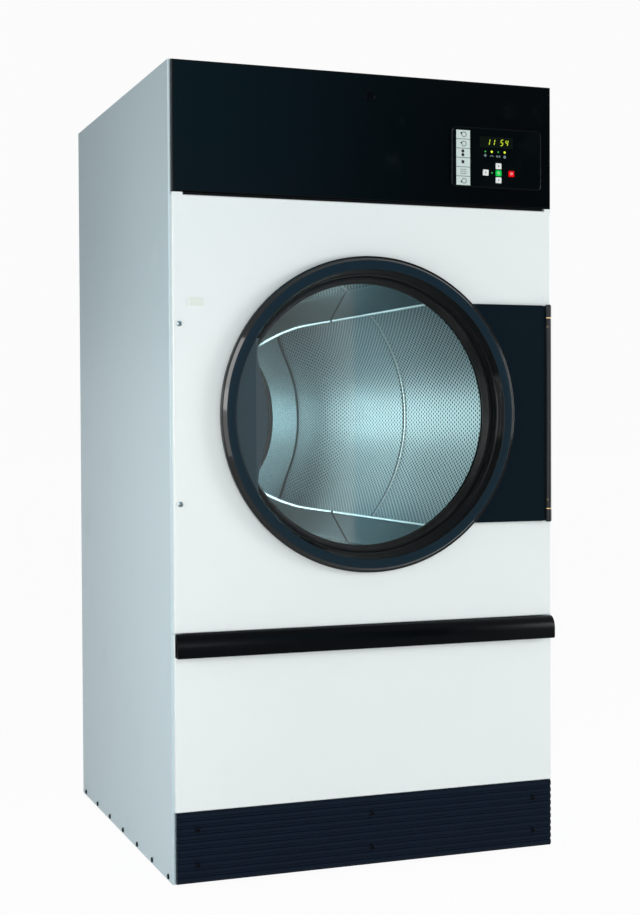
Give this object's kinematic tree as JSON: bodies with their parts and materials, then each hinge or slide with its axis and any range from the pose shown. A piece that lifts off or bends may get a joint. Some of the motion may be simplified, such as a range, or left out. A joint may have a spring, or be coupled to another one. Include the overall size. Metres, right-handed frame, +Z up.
{
  "type": "commercial tumble dryer",
  "caption": "Single-pocket commercial tumble dryer with a round glazed door, hinged control panel, lint drawer and belt-driven perforated drum.",
  "frame": {"origin": "on the floor under the centre of the machine's bounding box", "axes": "+X to the right seen from the front, +Y to the back, +Z up; the door faces -Y"},
  "size_m": [0.9844, 1.172, 1.943],
  "materials": {
    "white_paint": "smooth white powder coat",
    "grey_paint": "smooth light grey powder coat",
    "black_paint": "satin black powder coat",
    "plinth_paint": "satin dark navy paint",
    "ring_plastic": "satin black moulding, glossy in the cone",
    "handle_plastic": "fine grain dark grey moulding",
    "clear_glass": "clear tempered glass",
    "black_rubber": "glossy black rubber",
    "felt": "pressed grey felt",
    "stainless": "bright rolled stainless sheet",
    "galvanised": "galvanised sheet",
    "screw_steel": "plated pan heads",
    "shaft_steel": "turned steel",
    "cast_iron": "painted casting",
    "motor_paint": "dark grey enamel",
    "heater_alloy": "heat darkened sheathed rod",
    "magnet": "dark ferrite",
    "bezel_plastic": "smooth black moulding",
    "display_lens": "smoked lens",
    "key_white": "smooth white key",
    "key_green": "smooth green key",
    "key_red": "smooth red key",
    "lock_black": "black plated lock",
    "brass": "plain brass and steel"
  },
  "bodies": {
    "cabinet": {"base_frame": "galvanised", "left_side_panel": "grey_paint", "right_side_panel": "grey_paint", "top_panel": "grey_paint", "heater_housing": "galvanised", "heater_elements": "heater_alloy", "rear_bulkhead": "galvanised", "rear_cover": "galvanised", "drive_guard": "galvanised", "front_panel": "white_paint", "drum_seal": "felt", "kick_plate": "plinth_paint", "cabinet_screws": "screw_steel", "control_compartment": "galvanised", "catch_magnets": "magnet", "hinge_post": "black_paint", "hinge_pin": "brass", "control_hinge_fixed": "black_paint", "bearing_housing": "cast_iron", "drum_bearings": "shaft_steel", "motor": "motor_paint", "blower_housing": "galvanised", "exhaust_duct": "galvanised", "drum_belt": "black_rubber", "motor_belt": "black_rubber", "drawer_runners": "galvanised", "junction_box": "galvanised"},
    "door": {"door_plate": "black_paint", "door_ring": "ring_plastic", "door_glass": "clear_glass", "glass_seal": "black_rubber", "door_gasket": "black_rubber", "door_handle": "handle_plastic", "hinge_barrel": "black_paint"},
    "control": {"control_panel": "black_paint", "control_bezel": "bezel_plastic", "display_window": "display_lens", "lock_body": "lock_black"},
    "lock": {"lock_plug": "lock_black"},
    "drawer": {"drawer_front": "white_paint", "drawer_handle": "ring_plastic", "drawer_tray": "galvanised", "lint_screen": "stainless"},
    "drum": {"drum_shell": "stainless", "drum_back": "stainless", "drum_lifters": "stainless", "drum_spider": "shaft_steel", "drum_pulley": "cast_iron"},
    "jack": {"jack_pulley": "cast_iron"},
    "rotor": {"motor_shaft": "shaft_steel", "impeller": "galvanised"},
    "key_select": {"button_select": "key_white"},
    "key_up": {"button_up": "key_white"},
    "key_start": {"button_start": "key_green"},
    "key_down": {"button_down": "key_white"},
    "key_stop": {"button_stop": "key_red"},
    "foot_front_left_body": {"foot_front_left": "shaft_steel"},
    "foot_front_right_body": {"foot_front_right": "shaft_steel"},
    "foot_rear_left_body": {"foot_rear_left": "shaft_steel"},
    "foot_rear_right_body": {"foot_rear_right": "shaft_steel"}
  },
  "joints": [
    {"name": "door_hinge", "type": "hinge", "parent": "cabinet", "child": "door", "pos_m": [0.472, -0.5695, 1.0917], "axis": [0, 0, 1], "range_deg": [0, 160]},
    {"name": "control_panel_hinge", "type": "hinge", "parent": "cabinet", "child": "control", "pos_m": [0, -0.558, 1.5952], "axis": [1, 0, 0], "range_deg": [0, 90]},
    {"name": "lock_turn", "type": "hinge", "parent": "control", "child": "lock", "pos_m": [0, -0.551, 1.8465], "axis": [0, -1, 0], "range_deg": [0, 90]},
    {"name": "lint_drawer_slide", "type": "slide", "parent": "cabinet", "child": "drawer", "axis": [0, -1, 0], "range_m": [0, 0.4]},
    {"name": "drum_spin", "type": "hinge", "parent": "cabinet", "child": "drum", "pos_m": [0, -0.046, 1.0897], "axis": [0, 1, 0], "continuous": true},
    {"name": "jack_spin", "type": "hinge", "parent": "cabinet", "child": "jack", "pos_m": [-0.23, 0.504, 0.7597], "axis": [0, 1, 0], "continuous": true},
    {"name": "motor_spin", "type": "hinge", "parent": "cabinet", "child": "rotor", "pos_m": [-0.06, 0.254, 0.3894], "axis": [0, 1, 0], "continuous": true},
    {"name": "select_press", "type": "slide", "parent": "control", "child": "key_select", "axis": [0, 1, 0], "range_m": [0, 0.001], "stiffness_N_per_m": 500, "springref_m": -0.002},
    {"name": "up_press", "type": "slide", "parent": "control", "child": "key_up", "axis": [0, 1, 0], "range_m": [0, 0.001], "stiffness_N_per_m": 500, "springref_m": -0.002},
    {"name": "start_press", "type": "slide", "parent": "control", "child": "key_start", "axis": [0, 1, 0], "range_m": [0, 0.001], "stiffness_N_per_m": 500, "springref_m": -0.002},
    {"name": "down_press", "type": "slide", "parent": "control", "child": "key_down", "axis": [0, 1, 0], "range_m": [0, 0.001], "stiffness_N_per_m": 500, "springref_m": -0.002},
    {"name": "stop_press", "type": "slide", "parent": "control", "child": "key_stop", "axis": [0, 1, 0], "range_m": [0, 0.001], "stiffness_N_per_m": 500, "springref_m": -0.002},
    {"name": "foot_front_left_level", "type": "slide", "parent": "cabinet", "child": "foot_front_left_body", "axis": [0, 0, -1], "range_m": [0, 0.02]},
    {"name": "foot_front_right_level", "type": "slide", "parent": "cabinet", "child": "foot_front_right_body", "axis": [0, 0, -1], "range_m": [0, 0.02]},
    {"name": "foot_rear_left_level", "type": "slide", "parent": "cabinet", "child": "foot_rear_left_body", "axis": [0, 0, -1], "range_m": [0, 0.02]},
    {"name": "foot_rear_right_level", "type": "slide", "parent": "cabinet", "child": "foot_rear_right_body", "axis": [0, 0, -1], "range_m": [0, 0.02]}
  ],
  "couplings": [
    {"joint": "jack_spin", "follows": "drum_spin", "ratio": 7.8768},
    {"joint": "motor_spin", "follows": "drum_spin", "ratio": 34.96}
  ]
}
